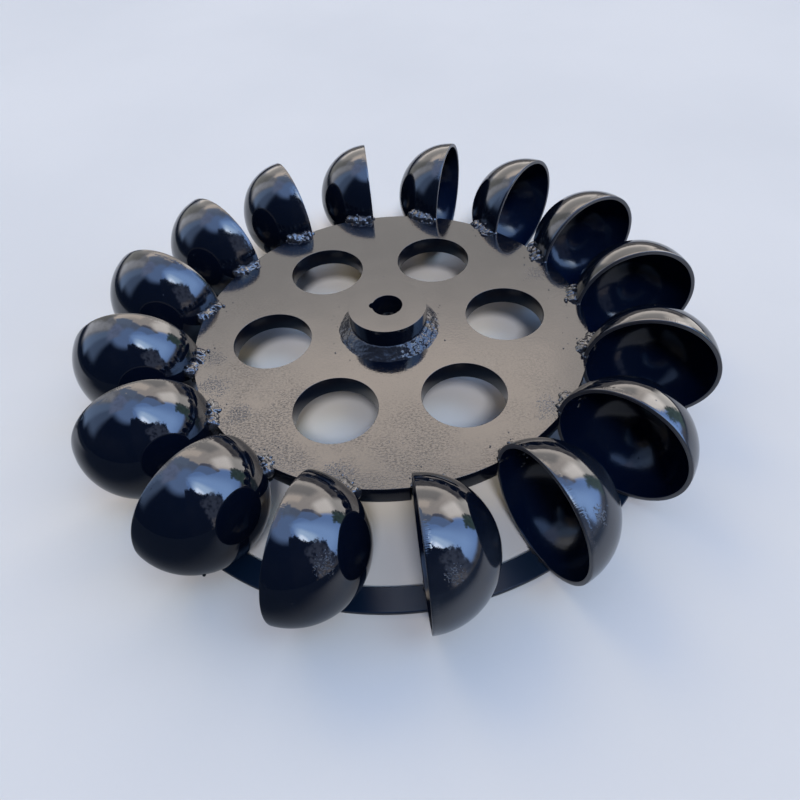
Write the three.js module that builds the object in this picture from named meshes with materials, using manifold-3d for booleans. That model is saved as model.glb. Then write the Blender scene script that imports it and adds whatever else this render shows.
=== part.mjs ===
// A turgo water wheel: half-ball bowls welded round the rim of a steel disc, on a keyed hub.
// Millimetres, +Z up along the wheel's axis. The origin is on the axis, level with the underside of
// the lower ring, and a bowl and a round window both lie on +X. The mouths of the bowls face
// clockwise when seen from above.
import * as THREE from "three";
import { mergeVertices } from "three/addons/utils/BufferGeometryUtils.js";
import Module from "manifold-3d";

// Driving dimensions
const OVERALL_DIAMETER = 400;
const BOWL_COUNT = 16;
const BOWL_DIAMETER = 78;
const BOWL_WALL = 2.5;
const DISC_DIAMETER = 250;
const DISC_THICKNESS = 12;
const DISC_TOP_OVER_BOWL_CENTRES = 2.8;
const WINDOW_COUNT = 6;
const WINDOW_DIAMETER = 50;
const WINDOW_CIRCLE_DIAMETER = 150;
const HUB_DIAMETER = 49;
const HUB_RISE = 18;
const BORE_DIAMETER = 19;
const KEYWAY_WIDTH = 5.4;
const KEYWAY_CENTRE_RADIUS = 8.7;
const KEYWAY_DIRECTION = THREE.MathUtils.degToRad(172);
const RING_INNER_DIAMETER = 317;
const RING_WIDTH = 14.5;
const RING_THICKNESS = 3;
const HUB_WELD_LEG = 8;
const HUB_WELD_HEIGHT = 5;
const BOWL_WELD_RADIUS = 3.6;

// The gap that neighbouring pieces keep where they touch
const SEAT_GAP = 0.3;

// How finely round shapes are drawn
const BOWL_SEGMENTS = 20;
const BOWL_ARC_STEPS = 6;
const DISC_SEGMENTS = 96;
const WINDOW_SEGMENTS = 32;
const HUB_SEGMENTS = 40;
const BORE_STEPS = 28;
const KEYWAY_STEPS = 6;
const WELD_SECTION_SIDES = 8;
const WELD_STEPS = 8;

// Worked-out places
const BOWL_RADIUS = BOWL_DIAMETER / 2;
const BOWL_CIRCLE_RADIUS = OVERALL_DIAMETER / 2 - BOWL_RADIUS;
const BOWL_CENTRE_HEIGHT = RING_THICKNESS + SEAT_GAP + BOWL_RADIUS;
const DISC_RADIUS = DISC_DIAMETER / 2;
const DISC_TOP = BOWL_CENTRE_HEIGHT + DISC_TOP_OVER_BOWL_CENTRES;
const DISC_UNDERSIDE = DISC_TOP - DISC_THICKNESS;
const HUB_RADIUS = HUB_DIAMETER / 2;
const HUB_TOP = DISC_TOP + HUB_RISE;
const BORE_RADIUS = BORE_DIAMETER / 2;
const RING_INNER_RADIUS = RING_INNER_DIAMETER / 2;
const RING_OUTER_RADIUS = RING_INNER_RADIUS + RING_WIDTH;

const wasm = await Module();
wasm.setup();

// A closed geometry as a solid that can be cut.
function solidFrom(geometry) {
  const bare = geometry.clone();
  bare.deleteAttribute("normal");
  bare.deleteAttribute("uv");
  const merged = mergeVertices(bare);
  return new wasm.Manifold(
    new wasm.Mesh({
      numProp: 3,
      vertProperties: merged.attributes.position.array,
      triVerts: new Uint32Array(merged.index.array),
    }),
  );
}

// A solid back as a geometry with its own normals.
function geometryFrom(solid) {
  const { numProp, vertProperties, triVerts } = solid.getMesh();
  const points = new Float32Array((vertProperties.length / numProp) * 3);
  for (let i = 0; i * numProp < vertProperties.length; i++)
    points.set(vertProperties.subarray(i * numProp, i * numProp + 3), i * 3);
  const geometry = new THREE.BufferGeometry()
    .setAttribute("position", new THREE.BufferAttribute(points, 3))
    .setIndex(new THREE.BufferAttribute(triVerts, 1));
  geometry.computeVertexNormals();
  return geometry;
}

// Points along a circular arc, the first at `from`, and the last at `to` where `closed` is false.
function arcPoints({ radius, steps, centre = [0, 0], from = 0, to = 2 * Math.PI, closed = true }) {
  const count = closed ? steps : steps + 1;
  return Array.from({ length: count }, (_, i) => {
    const angle = from + ((to - from) * i) / steps;
    return new THREE.Vector2(
      centre[0] + radius * Math.cos(angle),
      centre[1] + radius * Math.sin(angle),
    );
  });
}

// A flat piece cut from plate: the outline and its holes, between two heights.
function plateGeometry(outline, holes, bottom, top) {
  const shape = new THREE.Shape(outline);
  shape.holes = holes.map((points) => new THREE.Path(points));
  const geometry = new THREE.ExtrudeGeometry(shape, { depth: top - bottom, bevelEnabled: false });
  return geometry.translate(0, 0, bottom);
}

// The half ball of a bowl as a shell, its mouth in the XZ plane and its back towards +Y.
function bowlGeometry() {
  const inner = arcPoints({
    radius: BOWL_RADIUS - BOWL_WALL,
    steps: BOWL_ARC_STEPS,
    from: Math.PI / 2,
    to: 0,
    closed: false,
  });
  const outer = arcPoints({
    radius: BOWL_RADIUS,
    steps: BOWL_ARC_STEPS,
    to: Math.PI / 2,
    closed: false,
  });
  return new THREE.LatheGeometry(closeOnAxis([...inner, ...outer]), BOWL_SEGMENTS);
}

// The space that a bowl keeps free of other pieces: its half ball with the seat gap all round.
function bowlRoomGeometry() {
  const radius = BOWL_RADIUS + SEAT_GAP;
  const back = arcPoints({ radius, steps: BOWL_ARC_STEPS, to: Math.PI / 2, closed: false });
  const mouth = [new THREE.Vector2(0, -SEAT_GAP), new THREE.Vector2(radius, -SEAT_GAP)];
  return new THREE.LatheGeometry(closeOnAxis([...mouth, ...back]), BOWL_SEGMENTS).translate(
    BOWL_CIRCLE_RADIUS,
    0,
    BOWL_CENTRE_HEIGHT,
  );
}

// Sets the first and last points of a turned profile exactly on the axis.
function closeOnAxis(profile) {
  profile[0].x = 0;
  profile[profile.length - 1].x = 0;
  return profile;
}

// The disc: round windows, a seat for the hub, and a shallow notch for the wall of each bowl.
function discGeometry(bowlRoom) {
  const windows = arcPoints({ radius: WINDOW_CIRCLE_DIAMETER / 2, steps: WINDOW_COUNT }).map((centre) =>
    arcPoints({ radius: WINDOW_DIAMETER / 2, steps: WINDOW_SEGMENTS, centre: centre.toArray() }),
  );
  const seat = arcPoints({ radius: HUB_RADIUS + SEAT_GAP, steps: HUB_SEGMENTS });
  const rim = arcPoints({ radius: DISC_RADIUS, steps: DISC_SEGMENTS });
  const blank = plateGeometry(rim, [...windows, seat], DISC_UNDERSIDE, DISC_TOP);
  let disc = solidFrom(blank);
  for (let k = 0; k < BOWL_COUNT; k++) {
    const room = bowlRoom.clone().rotateZ(bowlAngle(k));
    disc = disc.subtract(solidFrom(room));
  }
  return geometryFrom(disc);
}

// The hub: a sleeve through the disc, its bore with one round-bottomed keyway.
function hubGeometry() {
  const radius = KEYWAY_WIDTH / 2;
  const centre = [KEYWAY_CENTRE_RADIUS, 0];
  const meetX =
    (BORE_RADIUS ** 2 + KEYWAY_CENTRE_RADIUS ** 2 - radius ** 2) / (2 * KEYWAY_CENTRE_RADIUS);
  const half = Math.acos(meetX / BORE_RADIUS);
  const groove = Math.acos((meetX - KEYWAY_CENTRE_RADIUS) / radius);
  const bore = arcPoints({ radius: BORE_RADIUS, steps: BORE_STEPS, from: half, to: 2 * Math.PI - half });
  const keyway = arcPoints({ radius, steps: KEYWAY_STEPS, centre, from: -groove, to: groove });
  const turned = [...bore, ...keyway].map((p) => p.rotateAround(new THREE.Vector2(), KEYWAY_DIRECTION));
  const outline = arcPoints({ radius: HUB_RADIUS, steps: HUB_SEGMENTS });
  return plateGeometry(outline, [turned], DISC_UNDERSIDE, HUB_TOP);
}

// The fillet weld round the foot of the hub, slightly full.
function hubWeldGeometry() {
  const inside = HUB_RADIUS + SEAT_GAP;
  const foot = DISC_TOP + SEAT_GAP;
  const face = new THREE.QuadraticBezierCurve(
    new THREE.Vector2(inside + HUB_WELD_LEG, foot),
    new THREE.Vector2(inside + HUB_WELD_LEG * 0.7, foot + HUB_WELD_HEIGHT * 0.8),
    new THREE.Vector2(inside, foot + HUB_WELD_HEIGHT),
  ).getPoints(4);
  const profile = [new THREE.Vector2(inside, foot), ...face, new THREE.Vector2(inside, foot)];
  return new THREE.LatheGeometry(profile, HUB_SEGMENTS).rotateX(Math.PI / 2);
}

// The lower ring: a flat hoop under the bowls that ties them together.
function ringGeometry() {
  const outline = arcPoints({ radius: RING_OUTER_RADIUS, steps: DISC_SEGMENTS });
  const hole = arcPoints({ radius: RING_INNER_RADIUS, steps: DISC_SEGMENTS });
  return plateGeometry(outline, [hole], 0, RING_THICKNESS);
}

// Where the back of the bowl on +X leaves the disc's top edge or side, as a point at a height.
function weldPoint(behindMouth, height, outward) {
  const slice = Math.sqrt(BOWL_RADIUS ** 2 - (height - BOWL_CENTRE_HEIGHT) ** 2);
  const reach = BOWL_CIRCLE_RADIUS - Math.sqrt(slice ** 2 - behindMouth ** 2);
  return new THREE.Vector3(Math.max(reach, outward), behindMouth, height);
}

// The weld bead of the bowl on +X: along the disc's top edge, then down the wedge behind the bowl.
function bowlWeldGeometry(bowlRoom) {
  const side = DISC_RADIUS + 1;
  const path = new THREE.CatmullRomCurve3([
    weldPoint(2, DISC_TOP + 0.8, 0),
    weldPoint(7, DISC_TOP + 0.8, 0),
    weldPoint(12, DISC_TOP + 0.6, 0),
    weldPoint(15, DISC_TOP - 2.5, side),
    weldPoint(14.5, DISC_TOP - 6.5, side),
    weldPoint(13, DISC_UNDERSIDE + 1.5, side),
  ]);
  const section = new THREE.Shape(arcPoints({ radius: BOWL_WELD_RADIUS, steps: WELD_SECTION_SIDES }));
  const bead = new THREE.ExtrudeGeometry(section, { steps: WELD_STEPS, extrudePath: path });
  const rim = arcPoints({ radius: DISC_RADIUS + SEAT_GAP, steps: DISC_SEGMENTS });
  const discRoom = plateGeometry(rim, [], DISC_UNDERSIDE - SEAT_GAP, DISC_TOP + SEAT_GAP);
  return geometryFrom(solidFrom(bead).subtract(solidFrom(discRoom)).subtract(solidFrom(bowlRoom)));
}

// The direction of a bowl's centre from the axis.
function bowlAngle(k) {
  return (k * 2 * Math.PI) / BOWL_COUNT;
}

// Black enamel over steel: glossy on smooth metal, duller on the lower ring.
function enamel(roughness = 0.16) {
  return new THREE.MeshStandardMaterial({ color: 0x101216, roughness, metalness: 0.1 });
}

// Enamel over rough weld metal.
function weldEnamel() {
  return new THREE.MeshStandardMaterial({ color: 0x20242b, roughness: 0.32, metalness: 0.15 });
}

// A named mesh of one piece.
function piece(name, geometry, material) {
  const mesh = new THREE.Mesh(geometry, material);
  mesh.name = name;
  return mesh;
}

// One bowl with its weld bead, turned to its place on the rim.
function bowlStation(k, bowl, weld) {
  const station = new THREE.Group();
  const label = String(k + 1).padStart(2, "0");
  const shell = piece(`bowl_${label}`, bowl, enamel());
  shell.position.set(BOWL_CIRCLE_RADIUS, 0, BOWL_CENTRE_HEIGHT);
  station.add(shell, piece(`bowl_weld_${label}`, weld, weldEnamel()));
  station.rotation.z = bowlAngle(k);
  return station;
}

function turgoWheel() {
  const bowlRoom = bowlRoomGeometry();
  const bowl = bowlGeometry();
  const bowlWeld = bowlWeldGeometry(bowlRoom);
  const wheel = new THREE.Group();
  wheel.name = "turgo_wheel";
  wheel.add(
    piece("disc_plate", discGeometry(bowlRoom), enamel()),
    piece("hub", hubGeometry(), enamel()),
    piece("hub_weld", hubWeldGeometry(), weldEnamel()),
    piece("lower_ring", ringGeometry(), enamel(0.35)),
  );
  for (let k = 0; k < BOWL_COUNT; k++) wheel.add(bowlStation(k, bowl, bowlWeld));
  return wheel;
}

export default turgoWheel();
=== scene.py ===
"""Dresses the turgo wheel: a welded steel runner under glossy black enamel, lying hub up on a pale floor.

Metres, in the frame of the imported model: +Z up along the wheel's axis, the origin on the axis, level with
the underside of the lower ring.
"""

import logging
import math
import random
from dataclasses import dataclass, replace
from enum import Enum
from typing import Callable, Iterable, Sequence

import bmesh
import bpy
from mathutils import Matrix, Vector, noise


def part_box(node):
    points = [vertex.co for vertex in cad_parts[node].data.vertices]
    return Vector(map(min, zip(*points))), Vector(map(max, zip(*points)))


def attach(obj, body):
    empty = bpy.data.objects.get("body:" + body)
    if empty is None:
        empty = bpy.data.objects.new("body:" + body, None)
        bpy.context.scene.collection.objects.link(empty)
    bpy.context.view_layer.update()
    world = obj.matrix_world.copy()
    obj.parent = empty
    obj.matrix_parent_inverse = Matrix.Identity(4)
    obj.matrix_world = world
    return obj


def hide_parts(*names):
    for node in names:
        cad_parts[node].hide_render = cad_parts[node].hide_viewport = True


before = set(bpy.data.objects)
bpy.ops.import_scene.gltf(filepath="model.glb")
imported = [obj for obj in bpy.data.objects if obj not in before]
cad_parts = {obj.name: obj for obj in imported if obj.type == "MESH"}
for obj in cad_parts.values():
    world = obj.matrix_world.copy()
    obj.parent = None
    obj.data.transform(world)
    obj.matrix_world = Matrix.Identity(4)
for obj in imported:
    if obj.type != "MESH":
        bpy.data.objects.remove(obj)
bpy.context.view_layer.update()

LOG = logging.getLogger("turgo_wheel")
MM = 0.001
BODY = "root"
MERGE_DISTANCE = 0.01 * MM

# A face is level where its normal's height is over this.
LEVEL = 0.999

# The finer lumps on a rough surface: how many times smaller they are, and their share of the depth.
FINER_LUMPS = 2.7
FINER_SHARE = 0.45

Pair = tuple[float, float]
Triple = tuple[float, float, float]
Options = dict[str | int, object]
Material = bpy.types.Material
Shape = bmesh.types.BMesh


class Slot(Enum):
    """The names of the wheel's material slots."""

    DISC = "disc_enamel"
    HUB = "hub_enamel"
    BOWL = "bowl_enamel"
    RING = "ring_enamel"
    WELD = "weld_enamel"


class Wall(Enum):
    """The three faces of a bowl's shell, as places in its list of materials."""

    OUTSIDE = 0
    INSIDE = 1
    RIM = 2


@dataclass(frozen=True)
class WheelSizes:
    """The wheel's main sizes in metres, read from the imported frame."""

    disc_radius: float
    disc_top: float
    disc_underside: float
    hub_radius: float
    hub_top: float
    ring_radius: float
    ring_top: float
    bowl_radius: float
    bowl_circle_radius: float
    bowl_centre_height: float
    bowl_count: int

    @classmethod
    def from_frame(cls) -> "WheelSizes":
        """Measures the frame's nodes."""
        disc_low, disc_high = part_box("disc_plate")
        hub_low, hub_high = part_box("hub")
        ring_low, ring_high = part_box("lower_ring")
        bowl_low, bowl_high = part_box("bowl_01")
        bowl_radius = (bowl_high.z - bowl_low.z) / 2
        return cls(
            disc_radius=(disc_high.x - disc_low.x) / 2,
            disc_top=disc_high.z,
            disc_underside=disc_low.z,
            hub_radius=(hub_high.x - hub_low.x) / 2,
            hub_top=hub_high.z,
            ring_radius=(ring_high.x - ring_low.x) / 2,
            ring_top=ring_high.z,
            bowl_radius=bowl_radius,
            bowl_circle_radius=bowl_high.x - bowl_radius,
            bowl_centre_height=(bowl_high.z + bowl_low.z) / 2,
            bowl_count=sum(name.startswith("bowl_") and "weld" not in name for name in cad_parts),
        )

    def bowl_angle(self, index: int) -> float:
        """The direction of a bowl's centre from the axis, in radians."""
        return index * math.tau / self.bowl_count

    def station(self, index: int) -> Matrix:
        """Turns what is built round the bowl on +X to the place of another bowl."""
        return Matrix.Rotation(self.bowl_angle(index), 4, "Z")


@dataclass(frozen=True)
class Pattern:
    """Soft noise, cut so that it is 0 below one level and 1 above another."""

    size: float
    low: float
    high: float
    detail: float = 2.0
    roughness: float = 0.5


class Value:
    """An output of a node: a number that takes part in sums, or a colour, vector or shader."""

    def __init__(self, graph: "Graph", socket: bpy.types.NodeSocket) -> None:
        """Keeps the socket and the graph that it belongs to."""
        self.graph = graph
        self.socket = socket

    def _math(self, operation: str, *operands: "Value | float") -> "Value":
        """One Math node on the operands."""
        return self.graph.value("ShaderNodeMath", {"operation": operation}, dict(enumerate(operands)))

    def __add__(self, other: "Value | float") -> "Value":
        """This value plus another."""
        return self._math("ADD", self, other)

    __radd__ = __add__

    def __sub__(self, other: "Value | float") -> "Value":
        """This value less another."""
        return self._math("SUBTRACT", self, other)

    def __rsub__(self, other: float) -> "Value":
        """A number less this value."""
        return self._math("SUBTRACT", other, self)

    def __mul__(self, other: "Value | float") -> "Value":
        """This value times another."""
        return self._math("MULTIPLY", self, other)

    __rmul__ = __mul__

    def arctangent(self, other: "Value") -> "Value":
        """The angle whose tangent is this value over the other."""
        return self._math("ARCTAN2", self, other)

    def unary(self, operation: str) -> "Value":
        """A Math node of one operand, such as ARCSINE or ABSOLUTE."""
        return self._math(operation, self)

    def rise(self, low: float, high: float) -> "Value":
        """A smooth step from 0 at `low` to 1 at `high`. It falls where `low` is the higher."""
        bounds = {"Value": self, "From Min": low, "From Max": high}
        return self.graph.value("ShaderNodeMapRange", {"interpolation_type": "SMOOTHSTEP"}, bounds)

    def at_least(self, least: float) -> "Value":
        """Lifts 0 to `least` and leaves 1 as it is, with all between in proportion."""
        return self * (1 - least) + least

    def window(self, half: float, soft: float) -> "Value":
        """1 within `half` of 0, falling to 0 over `soft` on both sides."""
        return self.unary("ABSOLUTE").rise(half + soft, half)


class Graph:
    """The node tree of a material or a world, with short ways to add nodes."""

    def __init__(self, owner: Material | bpy.types.World, place: str = "Object") -> None:
        """Clears the tree. Patterns read the place on the piece, or "Generated", the light's direction."""
        owner.use_nodes = True
        self.tree = owner.node_tree
        self.tree.nodes.clear()
        self.place = self.value("ShaderNodeTexCoord", output=place)

    def add(
        self, kind: str, settings: Options | None = None, inputs: Options | None = None
    ) -> bpy.types.Node:
        """Adds a node.

        Args:
            kind: The node's type.
            settings: Its options, set first.
            inputs: Numbers, colours or values for its sockets, by name or place.

        Returns:
            The node.
        """
        node = self.tree.nodes.new(kind)
        for name, setting in (settings or {}).items():
            setattr(node, name, setting)
        for key, given in (inputs or {}).items():
            if isinstance(given, Value):
                self.tree.links.new(given.socket, node.inputs[key])
            else:
                node.inputs[key].default_value = given
        return node

    def value(self, *node: object, output: str | int = 0) -> Value:
        """Adds a node, as `add` does, and gives one of its outputs."""
        return Value(self, self.add(*node).outputs[output])

    def parts(self, vector: Value | None = None) -> list[Value]:
        """The three numbers of a vector, or of the place."""
        node = self.add("ShaderNodeSeparateXYZ", {}, {0: vector or self.place})
        return [Value(self, output) for output in node.outputs]

    def vector(self, operation: str, other: Triple) -> Value:
        """A Vector Math node on the place and a vector, such as ADD or MULTIPLY."""
        return self.value("ShaderNodeVectorMath", {"operation": operation}, {0: self.place, 1: other})

    def measure(self, operation: str, other: Triple, place: Value | None = None) -> Value:
        """A number from a place and a vector, by DISTANCE or DOT_PRODUCT."""
        inputs = {0: place or self.place, 1: other}
        return self.value("ShaderNodeVectorMath", {"operation": operation}, inputs, output="Value")

    def mix(self, mask: Value | float, first: object, second: object) -> Value:
        """A colour that goes from the first to the second as the mask goes from 0 to 1."""
        return self.value("ShaderNodeMix", {"data_type": "RGBA"}, {0: mask, 6: first, 7: second}, output=2)

    def noise(
        self, size: float, detail: float = 2.0, roughness: float = 0.5, place: Value | None = None
    ) -> Value:
        """Soft noise between 0 and 1, in lumps of a size, with a number of finer layers of a strength."""
        inputs = {"Vector": place or self.place, "Scale": 1 / size, "Detail": detail, "Roughness": roughness}
        return self.value("ShaderNodeTexNoise", {}, inputs)

    def pattern(self, pattern: Pattern, place: Value | None = None) -> Value:
        """Soft noise between 0 and 1, cut at the pattern's levels."""
        soft = self.noise(pattern.size, pattern.detail, pattern.roughness, place)
        return soft.rise(pattern.low, pattern.high)

    def ray(self, kind: str) -> Value:
        """1 for rays of a kind, such as "Is Glossy Ray", and 0 for the others."""
        return self.value("ShaderNodeLightPath", output=kind)

    def bump(self, height: Value, depth: float, under: Value | None = None) -> Value:
        """A normal for a relief where 1 stands `depth` metres above 0, on a coarser one if there is one."""
        inputs = {"Height": height, "Strength": 1.0, "Distance": depth}
        if under:
            inputs["Normal"] = under
        return self.value("ShaderNodeBump", {}, inputs)

    def principled(self, colour: object, roughness: Value | float, normal: Value, **more: float) -> Value:
        """A Principled shader, with other numbers by the names of their sockets."""
        inputs = {"Base Color": colour, "Roughness": roughness, "Normal": normal, **more}
        return self.value("ShaderNodeBsdfPrincipled", {}, inputs)

    def finish(self, surface: Value) -> None:
        """Ties a material's shader to its output."""
        self.add("ShaderNodeOutputMaterial", {}, {"Surface": surface})


def rgba(colour: Iterable[float]) -> tuple[float, ...]:
    """A colour with full opacity."""
    return (*colour, 1.0)


@dataclass(frozen=True)
class RoughSpot:
    """A place where the enamel is pitted, with a ragged edge round a core, in shares of its radius."""

    centre: Triple
    radius: float
    core: float = 0.2
    stray: float = 1.2
    lump: float = 0.5


@dataclass(frozen=True)
class Enamel:
    """Black enamel on steel: a glossy coat with orange peel, dust, specks and dull spots."""

    name: str
    base: Triple = (0.0006, 0.0013, 0.0034)
    dust: Triple = (0.026, 0.024, 0.022)
    dust_share: float = 0.12
    gloss: float = 0.045
    dull: float = 0.16
    dull_share: float = 0.5
    refraction: float = 1.66
    peel_size: float = 2.2 * MM
    peel_depth: float = 0.010 * MM
    sag_size: float = 22 * MM
    sag_depth: float = 0.05 * MM
    speck_size: float = 7 * MM
    speck_depth: float = 0.10 * MM
    pit_size: float = 1.1 * MM
    pit_depth: float = 0.10 * MM
    pit_dullness: float = 0.35
    pit_dust: float = 0.35
    rough_spots: tuple[RoughSpot, ...] = ()

    FILM = Pattern(16 * MM, 0.38, 0.78, 5.0, 0.62)
    GRAIN = Pattern(0.7 * MM, 0.55, 0.8)
    PATCHES = Pattern(28 * MM, 0.45, 0.75, 4.0, 0.6)
    SMEARS = Pattern(3 * MM, 0.4, 0.8, 3.0)
    PEEL_STRENGTH = Pattern(24 * MM, 0.25, 0.75)
    KEPT_SPECKS = Pattern(11 * MM, 0.5, 0.62, 1.0)

    # Where a pattern or a distance fades out and in, and shares in a mix.
    SPECK_EDGE = (0.075, 0.03)
    PIT_EDGE = (0.66, 0.74)
    PIT_CROWDING = 0.16
    GRAIN_IN_FILM = 2.0
    GRAIN_ALONE = 0.25
    SMEAR_SHARE = 0.6
    LEAST_PEEL = 0.3

    def build(self) -> Material:
        """Makes a node material with this finish."""
        material = bpy.data.materials.new(self.name)
        graph = Graph(material)
        pits = self.pits(graph)
        graph.finish(self.surface(graph, pits, self.relief(graph, pits)))
        return material

    def surface(self, graph: Graph, pits: Value | float, normal: Value) -> Value:
        """The enamel's shader."""
        colour = self.colour(graph, pits)
        return graph.principled(colour, self.roughness(graph, pits), normal, IOR=self.refraction)

    def pits(self, graph: Graph) -> Value | float:
        """Small pits in the rough spots, from 0 to 1."""
        if not self.rough_spots:
            return 0.0
        near = sum(self._near(graph, spot) for spot in self.rough_spots)
        holes = graph.noise(self.pit_size, roughness=0.6) + near * self.PIT_CROWDING
        return holes.rise(*self.PIT_EDGE) * near.rise(0.0, 0.5)

    def _near(self, graph: Graph, spot: RoughSpot) -> Value:
        """How near a rough spot's middle is, from 0 to 1, with a ragged edge."""
        ragged = (graph.noise(spot.radius * spot.lump) - 0.5) * spot.radius * spot.stray
        reach = graph.measure("DISTANCE", spot.centre) + ragged
        return reach.rise(spot.radius, spot.radius * spot.core)

    def colour(self, graph: Graph, pits: Value | float) -> Value:
        """Near black, with a thin uneven film of dust."""
        film = graph.pattern(self.FILM) * self.dust_share
        grain = graph.pattern(self.GRAIN) * self.dust_share
        mask = film + film * grain * self.GRAIN_IN_FILM + grain * self.GRAIN_ALONE
        mask = (mask + pits * self.pit_dust).rise(0.0, 1.0)
        return graph.mix(mask, rgba(self.base), rgba(self.dust))

    def roughness(self, graph: Graph, pits: Value | float) -> Value:
        """Glossy, with soft duller patches and dull pits."""
        patches = graph.pattern(self.PATCHES) * self.dull_share
        smears = graph.pattern(self.SMEARS) * patches
        dullness = patches * (1 - self.SMEAR_SHARE) + smears * self.SMEAR_SHARE
        dullness = dullness * (self.dull - self.gloss)
        return self.gloss + dullness + pits * self.pit_dullness

    def coat(self, graph: Graph) -> Value:
        """Orange peel over slow sags."""
        sags = graph.bump(graph.noise(self.sag_size, detail=1.0), self.sag_depth)
        strength = graph.pattern(self.PEEL_STRENGTH).at_least(self.LEAST_PEEL)
        return graph.bump(graph.noise(self.peel_size, detail=1.5) * strength, self.peel_depth, sags)

    def relief(self, graph: Graph, pits: Value | float) -> Value:
        """The coat, with dust specks under the paint, and pits."""
        inputs = {"Vector": graph.place, "Scale": 1 / self.speck_size}
        cells = graph.value("ShaderNodeTexVoronoi", {}, inputs)
        specks = cells.rise(*self.SPECK_EDGE) * graph.pattern(self.KEPT_SPECKS)
        normal = graph.bump(specks, self.speck_depth, self.coat(graph))
        return graph.bump(1.0 - pits, self.pit_depth, normal) if self.rough_spots else normal


@dataclass(frozen=True)
class DiscEnamel(Enamel):
    """The enamel on the disc: stippled, and on one side of the wheel crinkled, with a dull painted brown in
    the crinkles that stands in for the warm wall's reflection.
    """

    stipple: float = 0.14
    crinkle_stretch: Triple = (0.55, 1.0, 1.0)
    crinkle_depth: float = 0.020 * MM
    crinkle_dullness: float = 0.10
    crinkle_side: Triple = (-0.45, -0.89, 0.0)
    # Painted reflection: a dull brown put into the crinkles in place of the gloss, standing in for the warm
    # wall seen in them, mottled with the dust colour.
    painted_sheen: Triple = (0.075, 0.058, 0.042)
    painted_sheen_share: float = 0.9
    painted_sheen_size: float = 5 * MM
    painted_sheen_roughness: float = 0.8
    painted_sheen_shine: float = 0.1

    STIPPLE = Pattern(1.0 * MM, 0.5, 0.72)
    CRINKLES = Pattern(0.85 * MM, 0.42, 0.70, 2.0, 0.6)
    SPREAD = Pattern(30 * MM, 0.3, 0.6, 3.0)

    # Where the crinkles fade in: away from the axis, and towards their side of the wheel.
    CLEAR_OF_HUB = (65 * MM, 95 * MM)
    SIDE_EDGE = (-50 * MM, 110 * MM)

    def surface(self, graph: Graph, pits: Value | float, normal: Value) -> Value:
        """The enamel's shader, with a matte painted brown in the crinkles in place of the wall's reflection.
        """
        # Painted reflection: the matte brown stands in for the warm wall's glare in the crinkles.
        tone = graph.mix(graph.noise(self.painted_sheen_size, detail=3.0), rgba(self.painted_sheen), rgba(self.dust))
        shine = {"Specular IOR Level": self.painted_sheen_shine}
        painted_sheen = graph.principled(tone, self.painted_sheen_roughness, normal, **shine)
        glossy = super().surface(graph, pits, normal)
        inputs = {0: self.crinkles(graph) * self.painted_sheen_share, 1: glossy, 2: painted_sheen}
        return graph.value("ShaderNodeMixShader", {}, inputs)

    def crinkles(self, graph: Graph) -> Value:
        """Fine crinkles, from 0 to 1, on one side of the wheel and clear of the hub."""
        clear = graph.measure("DISTANCE", (0.0, 0.0, 0.0)).rise(*self.CLEAR_OF_HUB)
        side = graph.measure("DOT_PRODUCT", self.crinkle_side).rise(*self.SIDE_EDGE)
        lines = graph.pattern(self.CRINKLES, graph.vector("MULTIPLY", self.crinkle_stretch))
        return lines * graph.pattern(self.SPREAD) * side * clear

    def roughness(self, graph: Graph, pits: Value | float) -> Value:
        """The enamel's roughness, with a fine stipple and dull crinkles."""
        marks = graph.pattern(self.STIPPLE) * self.stipple + self.crinkles(graph) * self.crinkle_dullness
        return super().roughness(graph, pits) + marks

    def coat(self, graph: Graph) -> Value:
        """Orange peel and crinkles over slow sags."""
        return graph.bump(self.crinkles(graph), self.crinkle_depth, super().coat(graph))


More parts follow.
